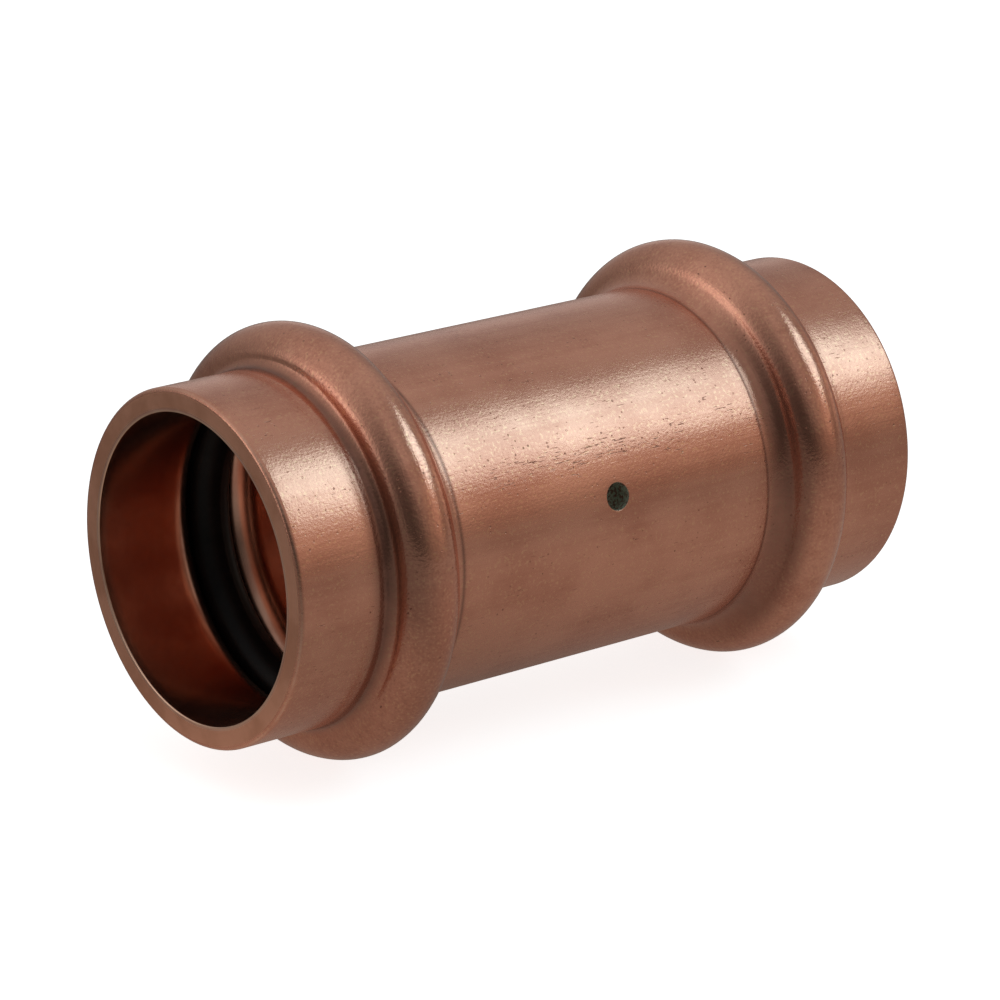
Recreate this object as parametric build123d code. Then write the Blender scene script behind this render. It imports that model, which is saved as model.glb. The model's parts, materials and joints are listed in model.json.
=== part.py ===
from build123d import *
import math
import os

# A straight press-fit coupling for copper tube of 15.9 mm outside diameter, in millimetres.
# X is the bore's axis, with the front end at -X. Z is up. The origin is the centre of the part, on the axis.
# The body is a solid of revolution with one punched dimple. A ring of rubber lies in each of its two beads.

# Driving dimensions: the body
overall_length = 41.0
bore_radius = 8.0
tube_wall = 1.2

# Driving dimensions: the skirt, which is the plain collar outside each bead
skirt_bore_gain = 0.05
skirt_wall = 1.25
rim_outer_round = 0.25
rim_inner_round = 0.07

# Driving dimensions: the bead, which is the raised ring that holds the seal
bead_setback = 7.35
bead_height = 2.2
bead_crest_round = 1.7
bead_wall = 0.85
bead_skirt_root = 0.6
bead_tube_root = 1.25
groove_mouth_round = 2.0

# Driving dimensions: the sealing ring
ring_thickness = 2.3
ring_grip = 0.35

# Driving dimensions: the dimple, which stops the tube at the middle of the coupling
dimple_diameter = 1.45
dimple_depth = 1.6
dimple_bump_height = 1.25
dimple_bump_radius = 1.3
dimple_tilt = 12.4

# Worked out from the driving dimensions
half_length = overall_length / 2
tube_radius = bore_radius + tube_wall
skirt_bore_radius = bore_radius + skirt_bore_gain
skirt_radius = skirt_bore_radius + skirt_wall
crest_x = bead_setback - half_length
crest_centre = Vector(crest_x, tube_radius + bead_height - bead_crest_round)
groove_crest_round = bead_crest_round - bead_wall
ring_centre_radius = bore_radius - ring_grip + ring_thickness / 2


def root_centre(level, root_round, crest_round, side):
    """The centre of the arc that joins a level wall to the crest arc, tangent to both.

    It stands root_round above the wall, and the two centres are the sum of the two radii apart.
    side is -1 for the skirt's side of the bead and 1 for the tube's side.
    """
    rise = level + root_round - crest_centre.Y
    reach = math.sqrt((crest_round + root_round) ** 2 - rise**2)
    return Vector(crest_centre.X + side * reach, level + root_round)


def arc_about(centre, radius, start, end):
    """An arc about a centre, the short way from the direction of start to the direction of end."""
    toward_start = (start - centre).normalized()
    toward_end = (end - centre).normalized()
    middle = centre + (toward_start + toward_end).normalized() * radius
    return ThreePointArc(centre + toward_start * radius, middle, centre + toward_end * radius)


def bulge(skirt_level, tube_level, crest_round, skirt_root, tube_root):
    """The raised line of a bead, from the skirt's wall up over the crest and down to the tube's wall."""
    before = root_centre(skirt_level, skirt_root, crest_round, -1)
    after = root_centre(tube_level, tube_root, crest_round, 1)
    top = crest_centre + Vector(0, crest_round)
    skirt_foot = Vector(before.X, skirt_level)
    tube_foot = Vector(after.X, tube_level)
    lines = [
        arc_about(before, skirt_root, skirt_foot, crest_centre),
        arc_about(crest_centre, crest_round, before, top),
        arc_about(crest_centre, crest_round, top, after),
        arc_about(after, tube_root, crest_centre, tube_foot),
    ]
    return skirt_foot, lines, tube_foot


def end_section():
    """The wall's section from the front rim to the middle of the coupling, as a face in the XY plane."""
    outer_foot, outer_lines, outer_end = bulge(
        skirt_radius, tube_radius, bead_crest_round, bead_skirt_root, bead_tube_root
    )
    inner_foot, inner_lines, inner_end = bulge(
        skirt_bore_radius, bore_radius, groove_crest_round, groove_mouth_round, groove_mouth_round
    )
    rim_outer = Vector(-half_length, skirt_radius - rim_outer_round)
    rim_top = Vector(-half_length + rim_outer_round, skirt_radius)
    rim_inner = Vector(-half_length, skirt_bore_radius + rim_inner_round)
    rim_bore = Vector(-half_length + rim_inner_round, skirt_bore_radius)
    edges = [
        Line(rim_inner, rim_outer),
        arc_about(Vector(rim_top.X, rim_outer.Y), rim_outer_round, rim_outer, rim_top),
        Line(rim_top, outer_foot),
        *outer_lines,
        Line(outer_end, Vector(0, tube_radius)),
        Line(Vector(0, tube_radius), Vector(0, bore_radius)),
        Line(Vector(0, bore_radius), inner_end),
        *inner_lines,
        Line(inner_foot, rim_bore),
        arc_about(Vector(rim_bore.X, rim_inner.Y), rim_inner_round, rim_bore, rim_inner),
    ]
    return make_face(edges)


def plain_body():
    """The body before the dimple is punched: the section and its mirror image, turned about the axis."""
    front = end_section()
    section = front + mirror(front, about=Plane.YZ)
    return revolve(section, axis=Axis.X)


def on_dimple_axis(shape, radius):
    """Moves a shape that points along Z to stand on the dimple's axis, at a radius from the bore's axis."""
    return Rot(X=90 - dimple_tilt) * Pos(0, 0, radius) * shape


def dimple_bump():
    """The metal that the punch pushes into the bore: a dome on a short neck that ends inside the wall."""
    tip = bore_radius - dimple_bump_height
    dome_centre = tip + dimple_bump_radius
    neck_top = bore_radius + tube_wall / 2
    dome = Sphere(dimple_bump_radius)
    neck_height = neck_top - dome_centre
    neck = Cylinder(dimple_bump_radius, neck_height, align=(Align.CENTER, Align.CENTER, Align.MIN))
    return on_dimple_axis(dome + neck, dome_centre)


def dimple_recess():
    """The hollow that the punch leaves in the outside: a round hole with a rounded bottom."""
    radius = dimple_diameter / 2
    bottom = tube_radius - dimple_depth
    neck = Cylinder(radius, 2 * dimple_depth, align=(Align.CENTER, Align.CENTER, Align.MIN))
    return on_dimple_axis(Sphere(radius) + neck, bottom + radius)


def coupling_body():
    return plain_body() + dimple_bump() - dimple_recess()


def sealing_ring(side, body):
    """A round rubber ring in the groove of one bead, squeezed flat where the groove's mouth meets it."""
    ring = Torus(ring_centre_radius, ring_thickness / 2)
    return Pos(-side * crest_x, 0, 0) * Rot(Y=90) * ring - body


def main():
    os.makedirs("parts", exist_ok=True)
    body = coupling_body()
    nodes = {
        "coupling_body": body,
        "o_ring_front": sealing_ring(-1, body),
        "o_ring_rear": sealing_ring(1, body),
    }
    for name, shape in nodes.items():
        export_step(shape, f"parts/{name}.step")
        print(name, "solids", len(shape.solids()), "volume", round(shape.volume, 1))


main()
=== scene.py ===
# %% [markdown]
# # A press-fit copper coupling
# This lesson builds the looks of a small plumbing part around its engineering model. The real part is a
# piece of copper tube, pushed outwards near both ends into two hollow beads. A ring of black rubber lies
# inside each bead, and one dimple is punched in the middle to stop the tubes that slide in. There are
# three pieces and nothing moves.

# %% Load the engineering model
import json
import math
import bpy
import numpy as np
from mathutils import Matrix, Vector


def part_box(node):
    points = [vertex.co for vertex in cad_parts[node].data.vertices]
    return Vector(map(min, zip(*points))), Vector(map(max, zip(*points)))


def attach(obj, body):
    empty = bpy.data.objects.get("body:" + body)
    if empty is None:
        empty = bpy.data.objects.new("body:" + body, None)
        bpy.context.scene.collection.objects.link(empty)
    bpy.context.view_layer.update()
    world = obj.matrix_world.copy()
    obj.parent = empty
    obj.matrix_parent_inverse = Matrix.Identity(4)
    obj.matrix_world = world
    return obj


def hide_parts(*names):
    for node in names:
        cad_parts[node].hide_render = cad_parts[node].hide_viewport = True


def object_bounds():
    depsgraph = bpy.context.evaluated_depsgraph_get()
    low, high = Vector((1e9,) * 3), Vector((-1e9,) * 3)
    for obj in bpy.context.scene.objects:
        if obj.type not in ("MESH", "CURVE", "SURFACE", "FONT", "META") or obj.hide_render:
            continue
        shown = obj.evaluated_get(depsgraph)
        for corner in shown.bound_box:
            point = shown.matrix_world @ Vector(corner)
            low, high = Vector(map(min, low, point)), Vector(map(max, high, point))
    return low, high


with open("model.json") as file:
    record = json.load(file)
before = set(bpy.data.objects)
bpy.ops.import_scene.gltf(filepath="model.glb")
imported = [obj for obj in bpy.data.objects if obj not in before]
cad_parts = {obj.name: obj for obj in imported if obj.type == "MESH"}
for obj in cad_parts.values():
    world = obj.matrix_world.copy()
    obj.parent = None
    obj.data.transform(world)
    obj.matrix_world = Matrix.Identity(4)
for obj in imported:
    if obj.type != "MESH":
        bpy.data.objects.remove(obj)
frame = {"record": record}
cad_low, cad_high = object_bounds()
MM = 0.001
body_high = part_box("coupling_body")[1]
print("engineering model, mm:", [round(v / MM, 2) for v in (cad_high - cad_low)])

# %% [markdown]
# ## The sizes that the pieces share
# The overall sizes come from the engineering model, so the visible pieces can't drift away from it. The
# wall, the bore and the radii of the formed bends are the part's own design values, in metres.

# %% Sizes
half_length = body_high.x
crest_radius = body_high.y
skirt_bore = frame["record"]["mounts"][0]["dims"]["r_mm"] * MM
skirt_radius = skirt_bore + 1.25 * MM
bore_radius = 8.0 * MM
tube_radius = bore_radius + 1.2 * MM
crest_setback = 7.35 * MM
crest_round = 1.7 * MM
bead_wall = 0.85 * MM
skirt_root = 0.6 * MM
tube_root = 1.25 * MM
mouth_round = 2.0 * MM
rim_outer_round = 0.25 * MM
rim_inner_round = 0.07 * MM
crest_centre = np.array([crest_setback - half_length, crest_radius - crest_round])
print("bead crest radius, mm:", round(crest_radius / MM, 2))

# %% [markdown]
# ## The tube's section
# A formed tube is a surface of revolution, so all of its shape is in one section: a closed line through
# the metal, turned about the bore's axis. The line could be a spline through hand-placed points. Here it
# is made only of straight lines and arcs that touch smoothly, because that is what forming rollers leave,
# and because each radius can then be read and changed.

# %% Arcs and lines of the section
def arc(centre, radius, start, end, count):
    """Points at centre + radius * (cos a, sin a), with a going evenly from start to end, in degrees."""
    angle = np.radians(np.linspace(start, end, count))
    return centre + radius * np.stack([np.cos(angle), np.sin(angle)], axis=1)


def line(x_start, x_end, level, count):
    """Evenly spaced points along the axis at one distance from it."""
    return np.stack([np.linspace(x_start, x_end, count), np.full(count, level)], axis=1)


def root_centre(level, root_round, top_round, side):
    """Centre of the arc between a level wall and the crest arc, the two radii from the crest's centre."""
    rise = level + root_round - crest_centre[1]
    reach = math.sqrt((top_round + root_round) ** 2 - rise**2)
    return np.array([crest_centre[0] + side * reach, level + root_round])


def bulge(first_level, second_level, top_round, first_root, second_root, counts):
    """A raised ring in section: a hollow root arc, the round crest arc and a second root arc."""
    first = root_centre(first_level, first_root, top_round, -1)
    second = root_centre(second_level, second_root, top_round, 1)
    up = math.degrees(math.atan2(*(crest_centre - first)[::-1]))
    down = math.degrees(math.atan2(*(second - crest_centre)[::-1]))
    return np.concatenate([
        arc(first, first_root, -90, up, counts[0])[:-1],
        arc(crest_centre, top_round, up + 180, down, counts[1])[:-1],
        arc(second, second_root, down + 180, 270, counts[2]),
    ])


# %% The outside and the inside of the front half
outer_bulge = bulge(skirt_radius, tube_radius, crest_round, skirt_root, tube_root, (18, 46, 22))
groove_round = crest_round - bead_wall
inner_bulge = bulge(skirt_bore, bore_radius, groove_round, mouth_round, mouth_round, (26, 20, 26))
rim_x = -half_length + rim_outer_round
rim_arc_centre = np.array([rim_x, skirt_radius - rim_outer_round])
inner_rim_centre = np.array([-half_length + rim_inner_round, skirt_bore + rim_inner_round])
lip_zone = 1.2 * MM
fine_x = outer_bulge[0, 0] - lip_zone
crease_zone = 0.5 * MM
crease_x = outer_bulge[-1, 0] + crease_zone
window_half = 2.1 * MM
window_cells = 14
outer_half = np.concatenate([
    arc(rim_arc_centre, rim_outer_round, 180, 90, 9)[:-1],
    line(rim_x, fine_x, skirt_radius, 9)[:-1],
    line(fine_x, outer_bulge[0, 0], skirt_radius, 22)[:-1],
    outer_bulge[:-1],
    line(outer_bulge[-1, 0], crease_x, tube_radius, 10)[:-1],
    line(crease_x, -window_half, tube_radius, 28)[:-1],
])
inner_half = np.concatenate([
    arc(inner_rim_centre, rim_inner_round, 180, 270, 6)[:-1],
    line(inner_rim_centre[0], inner_bulge[0, 0], skirt_bore, 9)[:-1],
    inner_bulge[:-1],
    line(inner_bulge[-1, 0], -window_half, bore_radius, 24)[:-1],
])
mirror_x = np.array([-1.0, 1.0])
outside = np.concatenate([
    outer_half,
    line(-window_half, window_half, tube_radius, window_cells + 1),
    (outer_half * mirror_x)[::-1],
])
inside = np.concatenate([
    inner_half,
    line(-window_half, window_half, bore_radius, window_cells + 1),
    (inner_half * mirror_x)[::-1],
])
rim_steps = np.linspace(0, 1, 8)[1:-1, None]
rear_rim = outside[-1] + rim_steps * (inside[-1] - outside[-1])
front_rim = inside[0] + rim_steps * (outside[0] - inside[0])
section = np.concatenate([outside, rear_rim, inside[::-1], front_rim])
OUTSIDE, RIM, BORE = 0, 1, 2
zone = np.repeat([OUTSIDE, RIM, BORE, RIM], [len(outside), len(rear_rim), len(inside), len(front_rim)])
print("points in the section:", len(section))

# %% [markdown]
# ## Marks that forming leaves in the section
# Beads are rolled outwards against a split die. The die's edge raises a small lip on the skirt just
# before the bead, and a fine crease where the bead meets the tube. They are only about a hundredth of a
# millimetre high, yet on a shiny part they draw the bright and dark rings that the eye sees first. They
# could be a bump in the material, but real geometry also shows in the exported mesh, so each is a bell
# curve added along the section's normal.

# %% Lips and creases
def bell(x, centre, width):
    """exp(-(distance from the centre / width) squared): 1 at the centre, fading to 0."""
    return np.exp(-(((x - centre) / width) ** 2))


lip_height = 0.016 * MM
lip_width = 0.17 * MM
lip_x = outer_bulge[0, 0] - 0.30 * MM
dip_depth = 0.006 * MM
dip_width = 0.22 * MM
dip_x = lip_x - 0.45 * MM
crease_depth = 0.008 * MM
crease_width = 0.07 * MM
crease_at = outer_bulge[-1, 0] + 0.02 * MM
distance_in = -np.abs(section[:, 0])
relief = lip_height * bell(distance_in, lip_x, lip_width) - dip_depth * bell(distance_in, dip_x, dip_width)
on_tube = np.abs(section[:, 1] - tube_radius) < crease_zone
relief -= crease_depth * bell(distance_in, crease_at, crease_width) * on_tube
relief *= zone == OUTSIDE
along = np.roll(section, -1, axis=0) - np.roll(section, 1, axis=0)
section_normal = np.stack([-along[:, 1], along[:, 0]], axis=1)
section_normal /= np.linalg.norm(section_normal, axis=1, keepdims=True)
print("largest relief, mm:", round(float(relief.max()) / MM, 3))

# %% [markdown]
# ## Turning the section into a skin
# The skin is a grid: one row for each point of the section, one column for each step round the axis. The
# columns start opposite the dimple, so that the dimple's place is in the middle of the grid. A slow,
# uneven waviness is added along the normal, because formed tube is never perfectly round and a perfect
# one looks computed. It is about a hundredth of a millimetre on the beads, and a tenth of that elsewhere.

# %% The grid of the tube's skin
columns = 168
dimple_tilt = math.radians(12.4)
middle_column = columns // 2
turn = (np.arange(columns) - middle_column) * 2 * math.pi / columns
spread = np.stack([np.zeros(columns), -np.cos(turn + dimple_tilt), np.sin(turn + dimple_tilt)], axis=1)


def waviness(x, angle):
    """The sum of share * sin(count * angle + pitch * x + phase). Whole counts make the ends meet."""
    waves = (
        (3, 310, 0.4, 1.0),
        (5, -520, 1.7, 0.7),
        (8, 790, 2.9, 0.5),
        (13, -1130, 4.1, 0.3),
        (21, 1700, 5.3, 0.2),
    )
    total = np.zeros(np.broadcast(x, angle).shape)
    for count, pitch, phase, share in waves:
        total += share * np.sin(count * angle + pitch * x + phase)
    return total


wave_height = 0.003 * MM
bead_share = bell(-np.abs(section[:, 0]), crest_centre[0], 3 * MM) * (zone == OUTSIDE)
tube_waves, bead_waves = 0.3, 2
wave_share = tube_waves + bead_waves * bead_share[:, None]
lift = relief[:, None] + wave_height * wave_share * waviness(section[:, 0, None], turn[None, :])
just_over = 1.001
window = (zone != RIM) & (np.abs(section[:, 0]) <= window_half * just_over)
lift[window] = 0
places = section[:, None, :] + lift[:, :, None] * section_normal[:, None, :]
skin = places[:, :, 1, None] * spread[None, :, :]
skin[:, :, 0] = places[:, :, 0]
rows = len(section)
print("skin grid:", rows, "rows by", columns, "columns")


# %% Faces of the grid, with two windows left open for the dimple
def grid_faces(rows, columns, keep):
    """Quads between neighbouring rows and columns, both closed into loops, where keep is true."""
    row, column = np.meshgrid(np.arange(rows), np.arange(columns), indexing="ij")
    next_row, next_column = (row + 1) % rows, (column + 1) % columns
    corners = [
        row * columns + column,
        row * columns + next_column,
        next_row * columns + next_column,
        next_row * columns + column,
    ]
    return np.stack(corners, axis=-1)[keep]


window_columns = 6
first_column, last_column = middle_column - window_columns, middle_column + window_columns
outer_rows = np.flatnonzero(window & (zone == OUTSIDE))
bore_rows = np.flatnonzero(window & (zone == BORE))
keep = np.ones((rows, columns), bool)
for window_rows in (outer_rows, bore_rows):
    keep[window_rows[0]:window_rows[-1], first_column:last_column] = False
faces = grid_faces(rows, columns, keep)
face_zone = np.repeat(zone[:, None], columns, axis=1)[keep]
print("faces in the grid:", len(faces))

# %% [markdown]
# ## The punched dimple
# A round-nosed punch is driven into the middle of the tube. Outside it leaves a small deep hole with
# steep walls, and inside it pushes up a dome that stops the tube. A height map on the grid would smear
# the steep walls, so each window in the grid is closed with a patch of rings instead: the first ring is
# the window's own square border, the next ones turn it into a circle, and the rest follow the punch's
# profile down to a point in the middle.

# %% Rings from a square window to a round punch mark
dimple_radius = 0.725 * MM
dimple_depth = 1.6 * MM
mouth_edge = 0.04 * MM
bump_radius = 1.3 * MM
bump_height = 1.25 * MM
bump_foot = 0.2 * MM
square_rings = 3
near_centre = 88
dimple_out = np.array([0.0, -math.cos(dimple_tilt), math.sin(dimple_tilt)])
dimple_round = np.array([0.0, math.sin(dimple_tilt), math.cos(dimple_tilt)])
dimple_along = np.array([1.0, 0.0, 0.0])


def border(window_rows):
    """Grid numbers round a window, in the order in which the removed faces met them."""
    top, bottom = window_rows[0], window_rows[-1]
    across = np.arange(first_column, last_column)
    down = np.arange(top, bottom)
    return np.concatenate([
        top * columns + across,
        down * columns + last_column,
        bottom * columns + across[::-1] + 1,
        (down[::-1] + 1) * columns + first_column,
    ])


def ring_patch(window_rows, level, rings):
    """Rings of (radius, depth) on a cylinder: each point is out by sqrt(level**2 - offset**2) - depth."""
    edge = border(window_rows)
    edge_points = skin.reshape(-1, 3)[edge]
    a, b = edge_points @ dimple_along, edge_points @ dimple_round
    reach = np.hypot(a, b)
    steps = np.linspace(0, 1, square_rings + 2)[1:-1, None]
    squares = reach + steps * (rings[0, 0] - reach)
    radii = np.concatenate([squares, np.repeat(rings[:, :1], len(edge), axis=1)])
    depths = np.concatenate([np.zeros(len(steps)), rings[:, 1]])[:, None]
    ring_a, ring_b = radii * a / reach, radii * b / reach
    out = np.sqrt(level**2 - ring_b**2) - depths
    sideways = ring_a[..., None] * dimple_along + ring_b[..., None] * dimple_round
    points = sideways + out[..., None] * dimple_out
    centre = dimple_out * (level - rings[-1, 1])
    return edge, points.reshape(-1, 3), centre


def patch_faces(edge, ring_count, first_number):
    """Quads from the border inwards, ring by ring, then a fan of triangles to the last point."""
    size = len(edge)
    numbers = first_number + np.arange(ring_count * size).reshape(ring_count, size)
    loops = np.concatenate([edge[None, :], numbers])
    here, there = loops[:-1], loops[1:]
    corners = [here, np.roll(here, -1, axis=1), np.roll(there, -1, axis=1), there]
    quads = np.stack(corners, axis=-1).reshape(-1, 4)
    last = loops[-1]
    point = np.full(size, first_number + ring_count * size)
    return quads, np.stack([last, np.roll(last, -1), point], axis=-1)


# %% The hole outside and the dome inside
mouth = arc(np.array([dimple_radius + mouth_edge, mouth_edge]), mouth_edge, 270, 180, 7)
hole_floor = arc(np.array([0.0, dimple_depth - dimple_radius]), dimple_radius, 0, near_centre, 12)
hole_wall = np.linspace(mouth[-1], hole_floor[0], 7)[1:-1]
sink = np.array([[1.45 * MM, 0.0], [1.2 * MM, 0.004 * MM], [1.0 * MM, 0.008 * MM]])
hole_rings = np.concatenate([sink, mouth + [0, 0.008 * MM], hole_wall, hole_floor])
dome_centre = bump_height - bump_radius
foot_reach = math.sqrt((bump_radius + bump_foot) ** 2 - (bump_foot - dome_centre) ** 2)
foot_angle = math.degrees(math.atan2(bump_foot - dome_centre, foot_reach))
dome_foot = arc(np.array([foot_reach, bump_foot]), bump_foot, 270, 180 + foot_angle, 6)
dome_top = arc(np.array([0.0, dome_centre]), bump_radius, foot_angle, near_centre, 16)[1:]
dome_rings = np.concatenate([dome_foot, dome_top])
hole_edge, hole_points, hole_centre = ring_patch(outer_rows, tube_radius, hole_rings)
dome_edge, dome_points, dome_centre_point = ring_patch(bore_rows, bore_radius, dome_rings)
grid_points = skin.reshape(-1, 3)
hole_start = len(grid_points)
dome_start = hole_start + len(hole_points) + 1
points = np.concatenate([grid_points, hole_points, hole_centre[None], dome_points, dome_centre_point[None]])
hole_quads, hole_fan = patch_faces(hole_edge, len(hole_points) // len(hole_edge), hole_start)
dome_quads, dome_fan = patch_faces(dome_edge, len(dome_points) // len(dome_edge), dome_start)
print("points in the dimple's two patches:", len(hole_points) + len(dome_points))


# %% [markdown]
# ## From arrays to a mesh
# Every piece goes through one function. It writes the points and faces, smooths the shading, stores
# per-point values that the materials read, and turns the faces round if the closed shape encloses a
# negative volume, which is the sign of a skin that is inside out.

# %% The mesh maker
def corner_triangles(face_sets):
    """Every face as triangles, for measuring."""
    triangles = []
    for faces in face_sets:
        is_quads = faces.shape[1] == 4
        triangles.append(np.concatenate([faces[:, [0, 1, 2]], faces[:, [0, 2, 3]]]) if is_quads else faces)
    return np.concatenate(triangles)


def enclosed_volume(points, face_sets):
    """A sixth of the sum of a . (b x c) over the triangles a, b, c."""
    triangles = corner_triangles(face_sets)
    a, b, c = points[triangles[:, 0]], points[triangles[:, 1]], points[triangles[:, 2]]
    return float(np.einsum("ij,ij->i", a, np.cross(b, c)).sum() / 6)


def make_piece(name, points, face_sets, materials, face_material=None, values=()):
    """A closed mesh object with its place in its mesh, riding on the part's body."""
    volume = enclosed_volume(points, face_sets)
    if volume < 0:
        face_sets = [f[:, ::-1] for f in face_sets]
    mesh = bpy.data.meshes.new(name)
    mesh.from_pydata(points.tolist(), [], [f for faces in face_sets for f in faces.tolist()])
    mesh.polygons.foreach_set("use_smooth", np.ones(len(mesh.polygons), bool))
    for material in materials:
        mesh.materials.append(material)
    if face_material is not None:
        mesh.polygons.foreach_set("material_index", face_material.astype(np.int32))
    for value_name, value in values:
        attribute = mesh.attributes.new(value_name, "FLOAT", "POINT")
        attribute.data.foreach_set("value", value.astype(np.float32))
    mesh.update()
    piece = bpy.data.objects.new(name, mesh)
    bpy.context.scene.collection.objects.link(piece)
    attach(piece, "root")
    print(name, "faces:", len(mesh.polygons), "volume, mm3:", round(abs(volume) / MM**3, 1))
    return piece


# %% [markdown]
# ## Helpers for the material graphs
# Materials are node graphs. Two small helpers keep the graphs readable: one adds a node and sets its
# inputs, the other does arithmetic on sockets.

# %% Node helpers
def node(tree, kind, inputs=(), **settings):
    """Adds a node with its settings. Each (input, value) is linked if a socket, or set if a number."""
    made = tree.nodes.new(kind)
    for name, value in settings.items():
        setattr(made, name, value)
    for name, value in inputs:
        if isinstance(value, bpy.types.NodeSocket):
            tree.links.new(value, made.inputs[name])
        else:
            made.inputs[name].default_value = value
    return made


def maths(tree, operation, first, second=0.0, third=0.0):
    """One arithmetic step; returns its result."""
    inputs = [(0, first), (1, second), (2, third)]
    return node(tree, "ShaderNodeMath", inputs, operation=operation).outputs[0]


def ramp_to(tree, value, low, high, out_low=0.0, out_high=1.0):
    """Carries low..high smoothly to out_low..out_high."""
    inputs = [("Value", value), ("From Min", low), ("From Max", high)]
    inputs += [("To Min", out_low), ("To Max", out_high)]
    return node(tree, "ShaderNodeMapRange", inputs, interpolation_type="SMOOTHSTEP").outputs["Result"]


def mix_colour(tree, share, first, second):
    """first where share is 0, second where it is 1."""
    made = node(tree, "ShaderNodeMix", data_type="RGBA")
    for name, value in (("Factor", share), ("A", first), ("B", second)):
        socket = next(s for s in made.inputs if s.name == name and s.enabled)
        if isinstance(value, bpy.types.NodeSocket):
            tree.links.new(value, socket)
        else:
            socket.default_value = value
    return next(s for s in made.outputs if s.enabled)


def new_group(name, inputs, outputs):
    """A shader node group with named number inputs and outputs; returns it with its two end nodes."""
    tree = bpy.data.node_groups.new(name, "ShaderNodeTree")
    for label, default in inputs:
        socket = tree.interface.new_socket(label, in_out="INPUT", socket_type="NodeSocketFloat")
        socket.default_value = default
    for label in outputs:
        tree.interface.new_socket(label, in_out="OUTPUT", socket_type="NodeSocketFloat")
    return tree, tree.nodes.new("NodeGroupInput").outputs, tree.nodes.new("NodeGroupOutput").inputs


def place_group(tree, group, **inputs):
    """One use of a group, with its own numbers or linked sockets; returns its outputs."""
    made = tree.nodes.new("ShaderNodeGroup")
    made.node_tree = group
    for label, value in inputs.items():
        socket = made.inputs[label.replace("_", " ")]
        if isinstance(value, bpy.types.NodeSocket):
            tree.links.new(value, socket)
        else:
            socket.default_value = value
    return made.outputs


# %% [markdown]
# ## Effects that several finishes share
# Copper tube is drawn through a die, which leaves fine lines along it. Rolling leaves fine rings round
# the beads and the cut ends. Handling adds short dark scratches and pits, and air tarnishes the metal in
# soft clouds. Each effect is a node group that reads the piece's own coordinates, so that outside, bore
# and cut end can all use it.

# %% Drawing lines
def drawn_lines_group():
    """Noise stretched along the bore's axis: lines one pitch wide, and others five times as broad."""
    inputs = [("Pitch", 0.1), ("Length", 3.0)]
    tree, given, result = new_group("drawn lines", inputs, ["Lines", "Broad lines"])
    place = node(tree, "ShaderNodeTexCoord").outputs["Object"]
    parts = node(tree, "ShaderNodeSeparateXYZ", [("Vector", place)]).outputs
    for label, coarser in (("Lines", 1.0), ("Broad lines", 5.0)):
        across = maths(tree, "DIVIDE", 1 / MM / coarser, given["Pitch"])
        lengthways = maths(tree, "DIVIDE", 1 / MM / coarser, given["Length"])
        scaled = [
            ("X", maths(tree, "MULTIPLY", parts["X"], lengthways)),
            ("Y", maths(tree, "MULTIPLY", parts["Y"], across)),
            ("Z", maths(tree, "MULTIPLY", parts["Z"], across)),
        ]
        stretched = node(tree, "ShaderNodeCombineXYZ", scaled).outputs[0]
        pattern = [("Vector", stretched), ("Scale", 1.0), ("Detail", 3.0), ("Roughness", 0.6)]
        noise = node(tree, "ShaderNodeTexNoise", pattern).outputs[0]
        tree.links.new(noise, result[label])
    return tree


# %% Rolling rings
def rolled_rings_group():
    """Noise that changes quickly along the section and slowly round the axis: fine rings."""
    tree, given, result = new_group("rolled rings", [("Pitch", 0.12), ("Sweep", 5.0)], ["Rings"])
    place = node(tree, "ShaderNodeTexCoord").outputs["Object"]
    parts = node(tree, "ShaderNodeSeparateXYZ", [("Vector", place)]).outputs
    y_squared = maths(tree, "POWER", parts["Y"], 2.0)
    z_squared = maths(tree, "POWER", parts["Z"], 2.0)
    radius = maths(tree, "SQRT", maths(tree, "ADD", y_squared, z_squared))
    along = maths(tree, "MULTIPLY_ADD", radius, 0.7, parts["X"])
    fine = maths(tree, "DIVIDE", 1 / MM, given["Pitch"])
    slow = maths(tree, "DIVIDE", 1 / MM, given["Sweep"])
    scaled = [
        ("X", maths(tree, "MULTIPLY", along, fine)),
        ("Y", maths(tree, "MULTIPLY", parts["Y"], slow)),
        ("Z", maths(tree, "MULTIPLY", parts["Z"], slow)),
    ]
    stretched = node(tree, "ShaderNodeCombineXYZ", scaled).outputs[0]
    pattern = [("Vector", stretched), ("Scale", 1.0), ("Detail", 2.0), ("Roughness", 0.55)]
    tree.links.new(node(tree, "ShaderNodeTexNoise", pattern).outputs[0], result["Rings"])
    return tree


# %% Clouds of tarnish
def tarnish_group():
    """Soft noise at two sizes: clouds some millimetres wide, and a mottle of a few tenths."""
    inputs = [("Cloud size", 5.0), ("Mottle size", 0.5)]
    tree, given, result = new_group("tarnish clouds", inputs, ["Clouds", "Mottle"])
    place = node(tree, "ShaderNodeTexCoord").outputs["Object"]
    for label, size, detail in (("Clouds", "Cloud size", 4.0), ("Mottle", "Mottle size", 3.0)):
        scale = maths(tree, "DIVIDE", 1 / MM, given[size])
        pattern = [("Vector", place), ("Scale", scale), ("Detail", detail), ("Roughness", 0.55)]
        tree.links.new(node(tree, "ShaderNodeTexNoise", pattern).outputs[0], result[label])
    return tree


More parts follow.
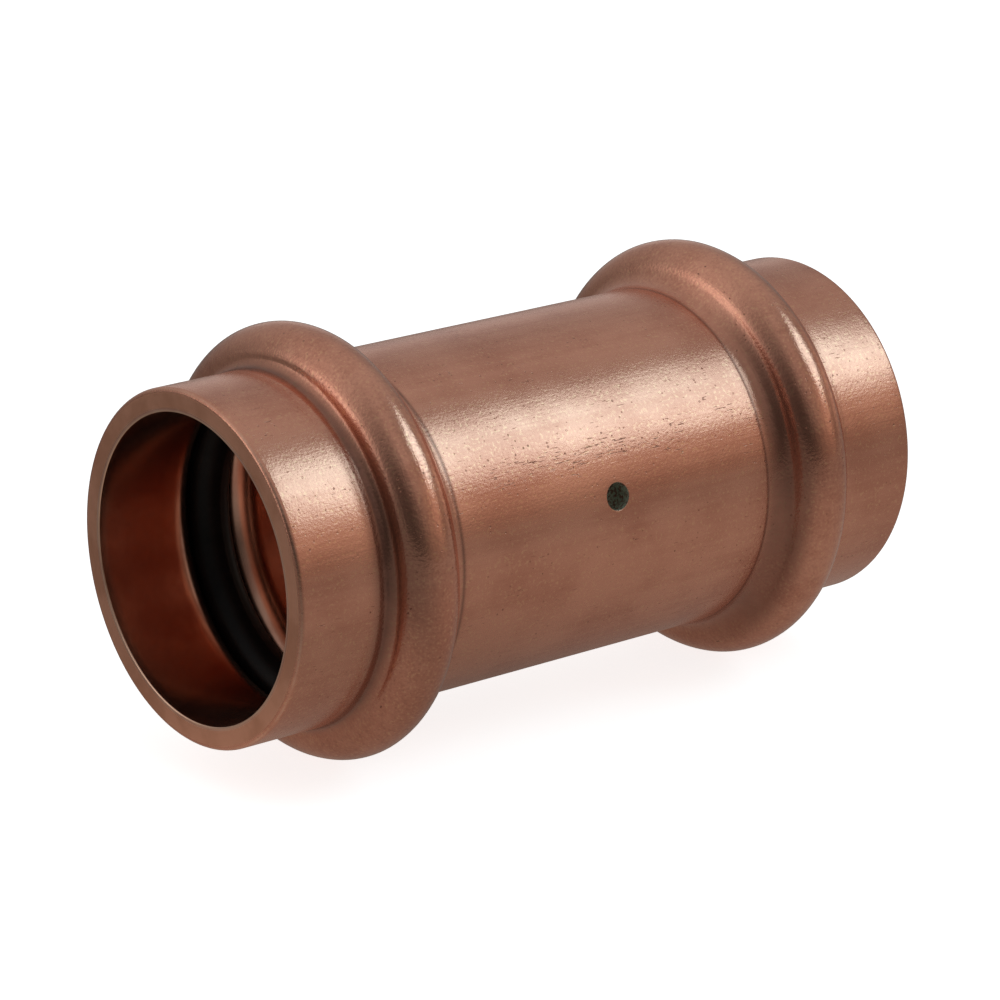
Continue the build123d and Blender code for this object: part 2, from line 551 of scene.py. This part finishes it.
# %% Scratches and pits
def handling_group():
    """Strokes along the axis where stretched noise is high, and pits in some cells, mostly in patches."""
    inputs = [("Stroke length", 0.9), ("Stroke width", 0.07), ("Pit spacing", 0.3), ("Wear", 0.0)]
    tree, given, result = new_group("handling marks", inputs, ["Strokes", "Pits"])
    place = node(tree, "ShaderNodeTexCoord").outputs["Object"]
    parts = node(tree, "ShaderNodeSeparateXYZ", [("Vector", place)]).outputs
    across = maths(tree, "DIVIDE", 1 / MM, given["Stroke width"])
    lengthways = maths(tree, "DIVIDE", 1 / MM, given["Stroke length"])
    scaled = [
        ("X", maths(tree, "MULTIPLY", parts["X"], lengthways)),
        ("Y", maths(tree, "MULTIPLY", parts["Y"], across)),
        ("Z", maths(tree, "MULTIPLY", parts["Z"], across)),
    ]
    stretched = node(tree, "ShaderNodeCombineXYZ", scaled).outputs[0]
    pattern = [("Vector", stretched), ("Scale", 1.0), ("Detail", 1.0)]
    noise = node(tree, "ShaderNodeTexNoise", pattern).outputs[0]
    patch_size = 2.2 * MM
    patch = [("Vector", place), ("Scale", 1 / patch_size), ("Detail", 2.0)]
    patches = node(tree, "ShaderNodeTexNoise", patch).outputs[0]
    worn = ramp_to(tree, maths(tree, "MULTIPLY_ADD", given["Wear"], 0.22, patches), 0.44, 0.72)
    bar = maths(tree, "MULTIPLY_ADD", given["Wear"], -0.07, 0.70)
    strokes = ramp_to(tree, maths(tree, "SUBTRACT", noise, bar), 0.0, 0.07)
    tree.links.new(maths(tree, "MULTIPLY", strokes, worn), result["Strokes"])
    pit_scale = maths(tree, "DIVIDE", 1 / MM, given["Pit spacing"])
    cells = node(tree, "ShaderNodeTexVoronoi", [("Vector", place), ("Scale", pit_scale)]).outputs
    chance = node(tree, "ShaderNodeSeparateColor", [("Color", cells["Color"])]).outputs[0]
    pit_size = ramp_to(tree, chance, 0.35, 1.0, 0.0, 0.24)
    pits = ramp_to(tree, maths(tree, "SUBTRACT", pit_size, cells["Distance"]), 0.0, 0.10)
    pit_share = maths(tree, "MULTIPLY_ADD", worn, 0.7, 0.3)
    tree.links.new(maths(tree, "MULTIPLY", pits, pit_share), result["Pits"])
    return tree


# %% Burnished edges
def burnish_group():
    """An edge is brightened unevenly: its stored value times a soft noise, with the low part cut off."""
    tree, given, result = new_group("burnished edge", [("Edge", 0.0), ("Patch size", 1.5)], ["Share"])
    place = node(tree, "ShaderNodeTexCoord").outputs["Object"]
    scale = maths(tree, "DIVIDE", 1 / MM, given["Patch size"])
    pattern = [("Vector", place), ("Scale", scale), ("Detail", 3.0)]
    noise = node(tree, "ShaderNodeTexNoise", pattern).outputs[0]
    uneven = maths(tree, "MULTIPLY", given["Edge"], maths(tree, "ADD", noise, 0.45))
    tree.links.new(ramp_to(tree, uneven, 0.35, 1.0), result["Share"])
    return tree


drawn_lines = drawn_lines_group()
rolled_rings = rolled_rings_group()
tarnish = tarnish_group()
handling = handling_group()
burnish = burnish_group()
print("shared effects:", [g.name for g in bpy.data.node_groups])


# %% [markdown]
# ## Copper, outside
# Unpolished copper reflects with a soft satin spread. Its colour is a pinkish brown, because a thin oxide
# has already formed. The beads were rubbed by rollers, so there the lines along the tube give way to
# rings. That change follows a value stored on the mesh, which is 1 on the beads and fades out on each
# side.

# %% The outside's material
def stored(tree, name):
    """A value stored on the mesh's points."""
    return node(tree, "ShaderNodeAttribute", attribute_name=name).outputs["Fac"]


def outside_copper():
    material = bpy.data.materials.new("copper_outside")
    material.use_nodes = True
    tree = material.node_tree
    shader = tree.nodes["Principled BSDF"]
    rolled, punched, painted_shade = stored(tree, "rolled"), stored(tree, "punched"), stored(tree, "painted_shade")
    plain = maths(tree, "SUBTRACT", 1.0, rolled)
    lines = place_group(tree, drawn_lines, Pitch=0.10, Length=3.5)
    rings = place_group(tree, rolled_rings, Pitch=0.22, Sweep=4.0)
    air = place_group(tree, tarnish, Cloud_size=5.0, Mottle_size=0.16)
    scuffed = stored(tree, "scuffed")
    marks = place_group(tree, handling, Stroke_length=0.7, Stroke_width=0.06, Pit_spacing=0.3, Wear=scuffed)
    bright = place_group(tree, burnish, Edge=stored(tree, "edge"), Patch_size=1.5)["Share"]
    clean, brown = (0.79, 0.385, 0.27, 1.0), (0.65, 0.29, 0.20, 1.0)
    polished, dark = (0.90, 0.56, 0.42, 1.0), (0.12, 0.05, 0.033, 1.0)
    # The first colour on the next line is painted shade for the bead feet and flanks; it also colours the
    # dark flecks on the beads.
    shade_and_fleck_dark, golden = (0.11, 0.05, 0.04, 1.0), (0.88, 0.52, 0.31, 1.0)
    verdigris, burnt = (0.42, 0.48, 0.38, 1.0), (0.24, 0.11, 0.08, 1.0)
    clouds = maths(tree, "MULTIPLY", air["Clouds"], 0.75)
    tone = maths(tree, "MULTIPLY_ADD", lines["Broad lines"], 0.25, clouds)
    colour = mix_colour(tree, ramp_to(tree, tone, 0.38, 0.64), clean, brown)
    colour = mix_colour(tree, ramp_to(tree, air["Mottle"], 0.32, 0.46, 0.5, 0.0), colour, golden)
    # Painted shade: the stored shade value, made uneven by the mottle and clouds, darkens the bead feet and
    # flanks.
    thinned = maths(tree, "MULTIPLY_ADD", air["Mottle"], 0.35, air["Clouds"])
    uneven = ramp_to(tree, thinned, 0.42, 0.85, 1.0, 0.55)
    colour = mix_colour(tree, maths(tree, "MULTIPLY", painted_shade, uneven), colour, shade_and_fleck_dark)
    flecks = maths(tree, "MULTIPLY", ramp_to(tree, air["Mottle"], 0.50, 0.68), rolled)
    colour = mix_colour(tree, maths(tree, "MULTIPLY", flecks, 0.15), colour, shade_and_fleck_dark)
    colour = mix_colour(tree, bright, colour, polished)
    strokes = maths(tree, "MULTIPLY", marks["Strokes"], plain)
    colour = mix_colour(tree, maths(tree, "MULTIPLY", strokes, 0.65), colour, dark)
    colour = mix_colour(tree, maths(tree, "MULTIPLY", marks["Pits"], 0.55), colour, dark)
    inside_hole = mix_colour(tree, ramp_to(tree, air["Mottle"], 0.45, 0.62), verdigris, burnt)
    colour = mix_colour(tree, punched, colour, inside_hole)
    tree.links.new(colour, shader.inputs["Base Color"])
    rough = maths(tree, "MULTIPLY_ADD", air["Mottle"], 0.10, 0.21)
    rough = maths(tree, "MULTIPLY_ADD", rolled, -0.06, rough)
    rough = maths(tree, "MULTIPLY_ADD", strokes, 0.2, rough)
    rough = maths(tree, "MULTIPLY_ADD", punched, 0.15, rough)
    tree.links.new(rough, shader.inputs["Roughness"])
    metal = maths(tree, "MULTIPLY_ADD", punched, -0.8, 1.0)
    # Less metallic where shade is painted on the bead feet and flanks.
    metal = maths(tree, "MULTIPLY_ADD", painted_shade, -0.3, metal)
    tree.links.new(metal, shader.inputs["Metallic"])
    height = maths(tree, "MULTIPLY", maths(tree, "MULTIPLY", lines["Lines"], plain), 4.5)
    height = maths(tree, "MULTIPLY_ADD", maths(tree, "MULTIPLY", rings["Rings"], rolled), 9.0, height)
    height = maths(tree, "MULTIPLY_ADD", air["Mottle"], 12.0, height)
    height = maths(tree, "MULTIPLY_ADD", strokes, -9.0, height)
    height = maths(tree, "MULTIPLY_ADD", marks["Pits"], -16.0, height)
    micron = 0.001 * MM
    bump = node(tree, "ShaderNodeBump", [("Height", height), ("Distance", micron), ("Strength", 1.0)])
    tree.links.new(bump.outputs["Normal"], shader.inputs["Normal"])
    return material


# %% [markdown]
# ## Copper, cut ends and bore
# The ends are cut square and faced, which leaves rings on a matt flat. Inside, the drawing lines are
# fainter and the copper is paler, but light that gets in is reflected from it several times, so the bore
# glows deep orange.

# %% The cut end's and the bore's materials
def plain_copper(name, clean, brown, roughness, line_height, ring_height):
    material = bpy.data.materials.new(name)
    material.use_nodes = True
    tree = material.node_tree
    shader = tree.nodes["Principled BSDF"]
    shader.inputs["Metallic"].default_value = 1.0
    lines = place_group(tree, drawn_lines, Pitch=0.12, Length=4.0)
    rings = place_group(tree, rolled_rings, Pitch=0.07, Sweep=2.5)
    air = place_group(tree, tarnish, Cloud_size=3.0, Mottle_size=0.3)
    bright = place_group(tree, burnish, Edge=stored(tree, "edge"), Patch_size=1.2)["Share"]
    colour = mix_colour(tree, ramp_to(tree, air["Clouds"], 0.38, 0.62), clean, brown)
    colour = mix_colour(tree, bright, colour, (0.92, 0.60, 0.44, 1.0))
    tree.links.new(colour, shader.inputs["Base Color"])
    rough = maths(tree, "MULTIPLY_ADD", air["Mottle"], 0.1, roughness - 0.05)
    tree.links.new(rough, shader.inputs["Roughness"])
    height = maths(tree, "MULTIPLY", lines["Lines"], line_height)
    height = maths(tree, "MULTIPLY_ADD", rings["Rings"], ring_height, height)
    height = maths(tree, "MULTIPLY_ADD", air["Mottle"], 0.8, height)
    bump = node(tree, "ShaderNodeBump", [("Height", height), ("Distance", 0.001 * MM), ("Strength", 1.0)])
    tree.links.new(bump.outputs["Normal"], shader.inputs["Normal"])
    return material


copper_outside = outside_copper()
copper_cut = plain_copper(
    "copper_cut_end",
    clean=(0.84, 0.43, 0.29, 1.0),
    brown=(0.70, 0.34, 0.22, 1.0),
    roughness=0.38,
    line_height=0.0,
    ring_height=2.5,
)
copper_bore = plain_copper(
    "copper_bore",
    clean=(0.86, 0.51, 0.38, 1.0),
    brown=(0.71, 0.37, 0.27, 1.0),
    roughness=0.24,
    line_height=1.4,
    ring_height=0.4,
)

# %% [markdown]
# ## The coupling's body
# The grid and the two patches are now one closed skin with three finishes. The stored values say where
# rollers have rubbed, where the cut edges are, where the tube was scuffed as it lay, where the punched
# hole has gone green, and where shade is painted. Painted shade darkens the side of each bead that faces
# the front end, part of the way round: along the front bead's foot, and over the rear bead's flank. A thin
# line of painted shade follows both feet of each bead all the way round.

# %% Make the body
def over_rows(value):
    """The same value all round each row of the grid."""
    return np.repeat(value[:, None], columns, axis=1)


def with_patches(grid_value, hole_value=0.0):
    """A value for every point: the grid's, then one for the hole's patch and nothing for the dome's."""
    hole = np.broadcast_to(hole_value, len(hole_points) + 1)
    return np.concatenate([grid_value.ravel(), hole, np.zeros(len(dome_points) + 1)])


bead_reach, bead_fade = 2.6 * MM, 0.5 * MM
shade_foot_x = outer_bulge[0, 0] + 0.12 * MM
from_crest = np.abs(-np.abs(section[:, 0]) - crest_centre[0])
rolled_value = over_rows(np.clip((bead_reach - from_crest) / bead_fade, 0, 1) * (zone == OUTSIDE))
edge_width = 0.16 * MM
to_outer_edge = np.hypot(*(np.abs(section) - [half_length, skirt_radius]).T)
to_inner_edge = np.hypot(*(np.abs(section) - [half_length, skirt_bore]).T)
edge_value = over_rows(np.exp(-((np.minimum(to_outer_edge, to_inner_edge) / edge_width) ** 2)))
scuff_angle, scuff_spread, scuff_reach = math.radians(28), math.radians(5), 8 * MM
scuff_turn = turn + dimple_tilt - scuff_angle
scuffed_value = bell(section[:, 0], 0, scuff_reach)[:, None] * bell(scuff_turn, 0, scuff_spread)[None, :]
# Painted shade: darker along the front bead's foot and over the rear bead's flank, part of the way round,
# and in thin lines along both feet of every bead all the way round.
front_foot_shade = 0.85 * bell(section[:, 0], shade_foot_x, 0.6 * MM)
flank_middle, flank_half = half_length - crest_setback - 2.1 * MM, 0.8 * MM
rear_flank_shade = 0.75 * np.exp(-(((section[:, 0] - flank_middle) / flank_half) ** 4))
shade_middle, shade_reach = math.radians(-8), math.radians(62)
shade_side = np.exp(-(((turn + dimple_tilt - shade_middle) / shade_reach) ** 4))
foot_line_shade = 0.9 * bell(distance_in, outer_bulge[0, 0] + 0.2 * MM, 0.28 * MM)
crease_line_shade = foot_line_shade + 0.8 * bell(distance_in, crease_at, 0.11 * MM)
flank_shade_value = over_rows(front_foot_shade + rear_flank_shade) * shade_side
painted_shade_value = np.maximum(flank_shade_value, over_rows(crease_line_shade)) * (zone == OUTSIDE)[:, None]
edge_size = len(hole_edge)
hole_ring_count = len(hole_points) // edge_size
ring_number = np.append(np.repeat(np.arange(hole_ring_count), edge_size), hole_ring_count)
fade_rings = 3
wall_ring = square_rings + len(sink) + len(mouth) // 2
punched_value = np.clip((ring_number - wall_ring + 1) / fade_rings, 0, 1)
face_sets = [faces, hole_quads, dome_quads, hole_fan, dome_fan]
face_material = np.concatenate([
    face_zone,
    np.full(len(hole_quads), OUTSIDE),
    np.full(len(dome_quads), BORE),
    np.full(len(hole_fan), OUTSIDE),
    np.full(len(dome_fan), BORE),
])
body = make_piece(
    "copper_body",
    points,
    face_sets,
    [copper_outside, copper_cut, copper_bore],
    face_material,
    [
        ("rolled", with_patches(rolled_value)),
        ("edge", with_patches(edge_value)),
        ("painted_shade", with_patches(painted_shade_value)),
        ("scuffed", with_patches(scuffed_value)),
        ("punched", with_patches(np.zeros((rows, columns)), punched_value)),
    ],
)
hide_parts("coupling_body")


# %% [markdown]
# ## The rubber rings
# Each ring is moulded in two halves, which leaves a fine flash line round it. Only the line on its inner
# side is made, because the groove hides the other. The groove's mouth squeezes its sides a little flat. A
# torus alone would cut into the copper, so the distance from the ring's centre line is the round
# section's radius or the distance to the groove's wall, whichever is less.

# %% The ring's shape
ring_low, ring_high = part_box("o_ring_front")
ring_round = (ring_high.x - ring_low.x) / 2
ring_line = ring_high.y - ring_round
flash_height = 0.03 * MM
flash_width = math.radians(3.5)
ring_points = 72
ring_steps = 192


def ring_section():
    """Points round the section: each is the ring's radius out, or the way to a mouth arc if that is less."""
    angle = np.arange(ring_points) * 2 * math.pi / ring_points
    away = np.stack([np.cos(angle), np.sin(angle)], axis=1)
    distance = np.full(ring_points, ring_round)
    for level, side in ((skirt_bore, -1), (bore_radius, 1)):
        ring_middle = [crest_centre[0], ring_line]
        mouth_centre = root_centre(level, mouth_round, groove_round, side) - ring_middle
        towards = away @ mouth_centre
        inside = towards**2 - mouth_centre @ mouth_centre + mouth_round**2
        hit = (inside > 0) & (towards > 0)
        reach = towards - np.sqrt(np.where(hit, inside, 0))
        distance = np.where(hit, np.minimum(distance, reach), distance)
    inward = np.abs((angle - 1.5 * math.pi + math.pi) % (2 * math.pi) - math.pi)
    distance = distance + flash_height * np.exp(-((inward / flash_width) ** 2))
    return away * distance[:, None]


def ring_skin(centre_x):
    """The section turned about the bore's axis."""
    outline = ring_section()
    angle = np.arange(ring_steps) * 2 * math.pi / ring_steps
    radius = (ring_line + outline[:, 1])[:, None]
    x = np.repeat((centre_x + outline[:, 0])[:, None], ring_steps, axis=1)
    return np.stack([x, radius * np.cos(angle), radius * np.sin(angle)], axis=-1).reshape(-1, 3)


# %% [markdown]
# ## Black rubber
# The rubber is nearly black, with a soft sheen from the mould and a little grey dust. Its grain is a
# little finer than the copper's mottle.

# %% The rubber's material
def black_rubber():
    material = bpy.data.materials.new("seal_rubber")
    material.use_nodes = True
    tree = material.node_tree
    shader = tree.nodes["Principled BSDF"]
    shader.inputs["Specular IOR Level"].default_value = 0.25
    air = place_group(tree, tarnish, Cloud_size=2.0, Mottle_size=0.12)
    black, dusty = (0.004, 0.004, 0.005, 1), (0.010, 0.010, 0.011, 1)
    colour = mix_colour(tree, ramp_to(tree, air["Clouds"], 0.45, 0.7), black, dusty)
    tree.links.new(colour, shader.inputs["Base Color"])
    tree.links.new(maths(tree, "MULTIPLY_ADD", air["Mottle"], 0.2, 0.35), shader.inputs["Roughness"])
    grain = [("Height", air["Mottle"]), ("Distance", 0.004 * MM), ("Strength", 1.0)]
    bump = node(tree, "ShaderNodeBump", grain)
    tree.links.new(bump.outputs["Normal"], shader.inputs["Normal"])
    return material


# %% Make both rings
seal_rubber = black_rubber()
ring_faces = grid_faces(ring_points, ring_steps, np.ones((ring_points, ring_steps), bool))
for name, side in (("front", 1), ("rear", -1)):
    ring = make_piece(f"rubber_ring_{name}", ring_skin(side * crest_centre[0]), [ring_faces], [seal_rubber])
    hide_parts(f"o_ring_{name}")

# %% [markdown]
# ## Floor
# The part lies on its two beads on a plain pale sheet. The sheet is brighter on the side of the main
# light, which the underside of the metal mirrors, so what it sends to the metal differs from what the eye
# sees directly. Two soft spots on it stand for the light that the sheet throws back close to the part.

# %% The floor
def direction(azimuth, elevation):
    """A unit vector: azimuth 0 is +Y and 90 is +X, elevation is above the horizon, in degrees."""
    a, e = math.radians(azimuth), math.radians(elevation)
    return np.array([math.cos(e) * math.sin(a), math.cos(e) * math.cos(a), math.sin(e)])


floor_z = cad_low.z
lit_azimuth = 135
floor_spots = [
    ((12, -22), 45, (0.08, 0.07, 0.06)),
    ((-24, -3), 13, (0.20, 0.165, 0.14)),
]


def pale_floor():
    material = bpy.data.materials.new("pale_sheet")
    material.use_nodes = True
    tree = material.node_tree
    shader = tree.nodes["Principled BSDF"]
    shader.inputs["Roughness"].default_value = 0.9
    shader.inputs["Specular IOR Level"].default_value = 0.0
    seen = node(tree, "ShaderNodeLightPath").outputs["Is Camera Ray"]
    mirrored, pale = (0.25, 0.24, 0.23, 1), (0.9, 0.9, 0.9, 1)
    tree.links.new(mix_colour(tree, seen, mirrored, pale), shader.inputs["Base Color"])
    place = node(tree, "ShaderNodeTexCoord").outputs["Object"]
    way = node(tree, "ShaderNodeVectorMath", [(0, place)], operation="NORMALIZE").outputs["Vector"]
    lit_side = [(0, way), (1, direction(lit_azimuth, 0))]
    cosine = node(tree, "ShaderNodeVectorMath", lit_side, operation="DOT_PRODUCT").outputs["Value"]
    shaded, lit = (0.07, 0.065, 0.06, 1), (0.17, 0.145, 0.13, 1)
    bounce = mix_colour(tree, ramp_to(tree, cosine, -0.2, 1.0), shaded, lit)
    for middle, reach, colour in floor_spots:
        away = [(0, place), (1, (middle[0] * MM, middle[1] * MM, floor_z))]
        distance = node(tree, "ShaderNodeVectorMath", away, operation="DISTANCE").outputs["Value"]
        squared = maths(tree, "POWER", distance, 2.0)
        spot = maths(tree, "EXPONENT", maths(tree, "MULTIPLY", squared, -1 / (reach * MM) ** 2))
        tinted = [(0, colour), ("Scale", spot)]
        glow_here = node(tree, "ShaderNodeVectorMath", tinted, operation="SCALE").outputs["Vector"]
        both = [(0, bounce), (1, glow_here)]
        bounce = node(tree, "ShaderNodeVectorMath", both, operation="ADD").outputs["Vector"]
    tree.links.new(mix_colour(tree, seen, bounce, (0.8, 0.8, 0.8, 1)), shader.inputs["Emission Color"])
    shader.inputs["Emission Strength"].default_value = 1.0
    return material


floor_half = 1.5
floor_mesh = bpy.data.meshes.new("floor")
corner_signs = [(-1, -1), (1, -1), (1, 1), (-1, 1)]
corners = [(x * floor_half, y * floor_half, floor_z) for x, y in corner_signs]
floor_mesh.from_pydata(corners, [], [(0, 1, 2, 3)])
floor_mesh.materials.append(pale_floor())
floor = bpy.data.objects.new("floor", floor_mesh)
bpy.context.scene.collection.objects.link(floor)

# %% [markdown]
# ## Light
# Shiny metal shows the room, so the room is what has to be right. One large, cool soft box high on the
# right makes the long highlight. The rest could be more lamps, but soft patches on the walls of a dim
# room are smoother in a reflection: a broad one at the back left, a small bright one low on the left, and
# weaker ones elsewhere. The walls behind the viewer stay dim.

# %% The room and the lamps
def soft_box(name, azimuth, elevation, distance, size, power, colour):
    light = bpy.data.lights.new(name, "AREA")
    light.shape = "RECTANGLE"
    light.size, light.size_y = size
    light.energy = power
    light.color = colour
    lamp = bpy.data.objects.new(name, light)
    lamp.location = direction(azimuth, elevation) * distance
    lamp.rotation_mode = "QUATERNION"
    lamp.rotation_quaternion = (-lamp.location).to_track_quat("-Z", "Y")
    bpy.context.scene.collection.objects.link(lamp)
    return lamp


def glow(tree, way, azimuth, elevation, sharpness, strength, colour):
    """A soft patch of light: strength * exp(sharpness * (cosine of the angle from its middle - 1))."""
    middle = [(0, way), (1, direction(azimuth, elevation))]
    cosine = node(tree, "ShaderNodeVectorMath", middle, operation="DOT_PRODUCT").outputs["Value"]
    fall = maths(tree, "EXPONENT", maths(tree, "MULTIPLY_ADD", cosine, sharpness, -sharpness))
    tint = [strength * channel for channel in colour]
    scaled = [(0, tint), ("Scale", fall)]
    return node(tree, "ShaderNodeVectorMath", scaled, operation="SCALE").outputs["Vector"]


def room():
    """A dim room, and the sum of the soft patches on its walls and ceiling."""
    world = bpy.data.worlds.new("room")
    world.use_nodes = True
    tree = world.node_tree
    way = node(tree, "ShaderNodeTexCoord").outputs["Generated"]
    total = (0.03, 0.028, 0.026)
    for patch in room_patches:
        both = [(0, total), (1, glow(tree, way, *patch))]
        total = node(tree, "ShaderNodeVectorMath", both, operation="ADD").outputs[0]
    background = tree.nodes["Background"]
    tree.links.new(total, background.inputs["Color"])
    bpy.context.scene.world = world


warm, plain, cool = (1.0, 0.80, 0.66), (1.0, 0.97, 0.95), (0.62, 1.05, 1.24)
room_patches = [
    (10, 30, 3.0, 0.30, plain),
    (80, 45, 6.0, 0.22, plain),
    (37, 3, 25.0, 0.34, plain),
    (-60, 4, 25.0, 1.10, plain),
    (-60, 38, 8.0, 0.42, plain),
    (92, 4, 20.0, 0.45, warm),
    (138, 22, 16.0, 0.50, warm),
    (172, 18, 9.0, 0.20, warm),
    (0, 88, 5.0, 0.27, plain),
    (-160, 48, 10.0, 0.28, plain),
]
room()
soft_box("key", 125, 40, 0.6, (0.30, 0.30), 0.50, cool)

# %% [markdown]
# ## Camera
# A long lens from a little above. At this distance the near end looks only about a tenth larger than the
# far end.

# %% The camera
view_azimuth, view_elevation = -39.237, 17.593
view_distance = 239.09 * MM
looked_at = np.array([-0.361, 0.137, -0.385]) * MM
camera_data = bpy.data.cameras.new("camera")
camera_data.sensor_width = 36.0
camera_data.lens = 163.09
camera_data.clip_start = 0.01
camera = bpy.data.objects.new("camera", camera_data)
turned, raised = math.radians(view_azimuth), math.radians(view_elevation)
backwards = np.array([
    math.sin(turned) * math.cos(raised),
    -math.cos(turned) * math.cos(raised),
    math.sin(raised),
])
camera.location = looked_at + backwards * view_distance
camera.rotation_mode = "QUATERNION"
camera.rotation_quaternion = Vector(-backwards).to_track_quat("-Z", "Y")
bpy.context.scene.collection.objects.link(camera)
bpy.context.scene.camera = camera
bpy.context.scene.view_settings.view_transform = "Standard"
